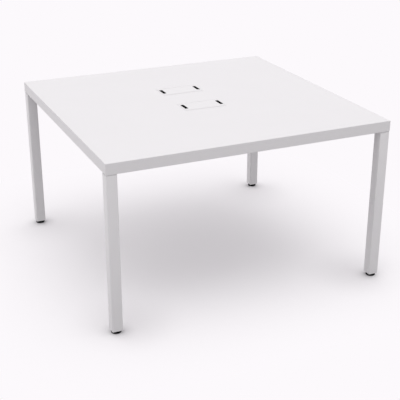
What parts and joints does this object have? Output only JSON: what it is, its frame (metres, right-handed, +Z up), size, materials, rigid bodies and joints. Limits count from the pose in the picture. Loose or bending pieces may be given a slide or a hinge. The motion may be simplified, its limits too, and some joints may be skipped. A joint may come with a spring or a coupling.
{
  "type": "conference table",
  "caption": "White conference table: thick banded top, square legs flush with its corners on levelling feet, and flip-lid cable ports above a hidden cable tray.",
  "frame": {"origin": "on the floor under the middle of the top, with the feet screwed right in", "axes": "+X to the right and +Y to the back as seen by the picture's nearest long side, +Z up"},
  "size_m": [1.24, 1.2, 0.7216],
  "materials": {
    "white_board": "white melamine facing, satin",
    "white_band": "white edge band, satin",
    "board_core": "raw particle board",
    "white_paint": "white powder coat",
    "grey_steel": "grey powder coat",
    "white_plastic": "white moulding, satin",
    "black_plastic": "black moulding, fine grain",
    "black_rubber": "matt",
    "dark_zinc": "black zinc plate"
  },
  "bodies": {
    "table": {"cable_tray": "grey_steel", "edge_band_back": "white_band", "edge_band_front": "white_band", "edge_band_left": "white_band", "edge_band_right": "white_band", "edge_strip_back": "board_core", "edge_strip_front": "board_core", "edge_strip_left": "board_core", "edge_strip_right": "board_core", "leg_back_left": "white_paint", "leg_back_right": "white_paint", "leg_front_left": "white_paint", "leg_front_right": "white_paint", "leg_plate_back_left": "white_paint", "leg_plate_back_right": "white_paint", "leg_plate_front_left": "white_paint", "leg_plate_front_right": "white_paint", "leg_plug_back_left": "black_plastic", "leg_plug_back_right": "black_plastic", "leg_plug_front_left": "black_plastic", "leg_plug_front_right": "black_plastic", "port_bezel_front": "white_plastic", "port_bezel_rear": "white_plastic", "port_rod_front": "dark_zinc", "port_rod_rear": "dark_zinc", "port_well_front": "black_plastic", "port_well_rear": "black_plastic", "stiffener_rail_back": "grey_steel", "stiffener_rail_front": "grey_steel", "tabletop_board": "white_board"},
    "lid_front": {"port_lid_front": "white_plastic", "port_outlet_front_left": "black_plastic", "port_outlet_front_right": "black_plastic"},
    "lid_rear": {"port_lid_rear": "white_plastic", "port_outlet_rear_left": "black_plastic", "port_outlet_rear_right": "black_plastic"},
    "sole_front_left": {"foot_sole_front_left": "black_rubber"},
    "foot_front_left": {"foot_disc_front_left": "black_plastic", "foot_stud_front_left": "dark_zinc"},
    "sole_front_right": {"foot_sole_front_right": "black_rubber"},
    "foot_front_right": {"foot_disc_front_right": "black_plastic", "foot_stud_front_right": "dark_zinc"},
    "sole_back_right": {"foot_sole_back_right": "black_rubber"},
    "foot_back_right": {"foot_disc_back_right": "black_plastic", "foot_stud_back_right": "dark_zinc"},
    "sole_back_left": {"foot_sole_back_left": "black_rubber"},
    "foot_back_left": {"foot_disc_back_left": "black_plastic", "foot_stud_back_left": "dark_zinc"}
  },
  "joints": [
    {"name": "lid_hinge_front", "type": "hinge", "parent": "table", "child": "lid_front", "pos_m": [0, -0.1155, 0.7168], "axis": [1, 0, 0], "range_deg": [0, 95]},
    {"name": "lid_hinge_rear", "type": "hinge", "parent": "table", "child": "lid_rear", "pos_m": [0, 0.1345, 0.7168], "axis": [1, 0, 0], "range_deg": [0, 95]},
    {"name": "foot_slide_front_left", "type": "slide", "parent": "table", "child": "sole_front_left", "axis": [0, 0, -1], "range_m": [0, 0.015]},
    {"name": "foot_turn_front_left", "type": "hinge", "parent": "sole_front_left", "child": "foot_front_left", "pos_m": [-0.5975, -0.5775, 0.003], "axis": [0, 0, -1], "range_deg": [0, 4320]},
    {"name": "foot_slide_front_right", "type": "slide", "parent": "table", "child": "sole_front_right", "axis": [0, 0, -1], "range_m": [0, 0.015]},
    {"name": "foot_turn_front_right", "type": "hinge", "parent": "sole_front_right", "child": "foot_front_right", "pos_m": [0.5975, -0.5775, 0.003], "axis": [0, 0, -1], "range_deg": [0, 4320]},
    {"name": "foot_slide_back_right", "type": "slide", "parent": "table", "child": "sole_back_right", "axis": [0, 0, -1], "range_m": [0, 0.015]},
    {"name": "foot_turn_back_right", "type": "hinge", "parent": "sole_back_right", "child": "foot_back_right", "pos_m": [0.5975, 0.5775, 0.003], "axis": [0, 0, -1], "range_deg": [0, 4320]},
    {"name": "foot_slide_back_left", "type": "slide", "parent": "table", "child": "sole_back_left", "axis": [0, 0, -1], "range_m": [0, 0.015]},
    {"name": "foot_turn_back_left", "type": "hinge", "parent": "sole_back_left", "child": "foot_back_left", "pos_m": [-0.5975, 0.5775, 0.003], "axis": [0, 0, -1], "range_deg": [0, 4320]}
  ],
  "couplings": [
    {"joint": "foot_slide_front_left", "follows": "foot_turn_front_left", "m_per_rad": 0.00019894},
    {"joint": "foot_slide_front_right", "follows": "foot_turn_front_right", "m_per_rad": 0.00019894},
    {"joint": "foot_slide_back_right", "follows": "foot_turn_back_right", "m_per_rad": 0.00019894},
    {"joint": "foot_slide_back_left", "follows": "foot_turn_back_left", "m_per_rad": 0.00019894}
  ]
}
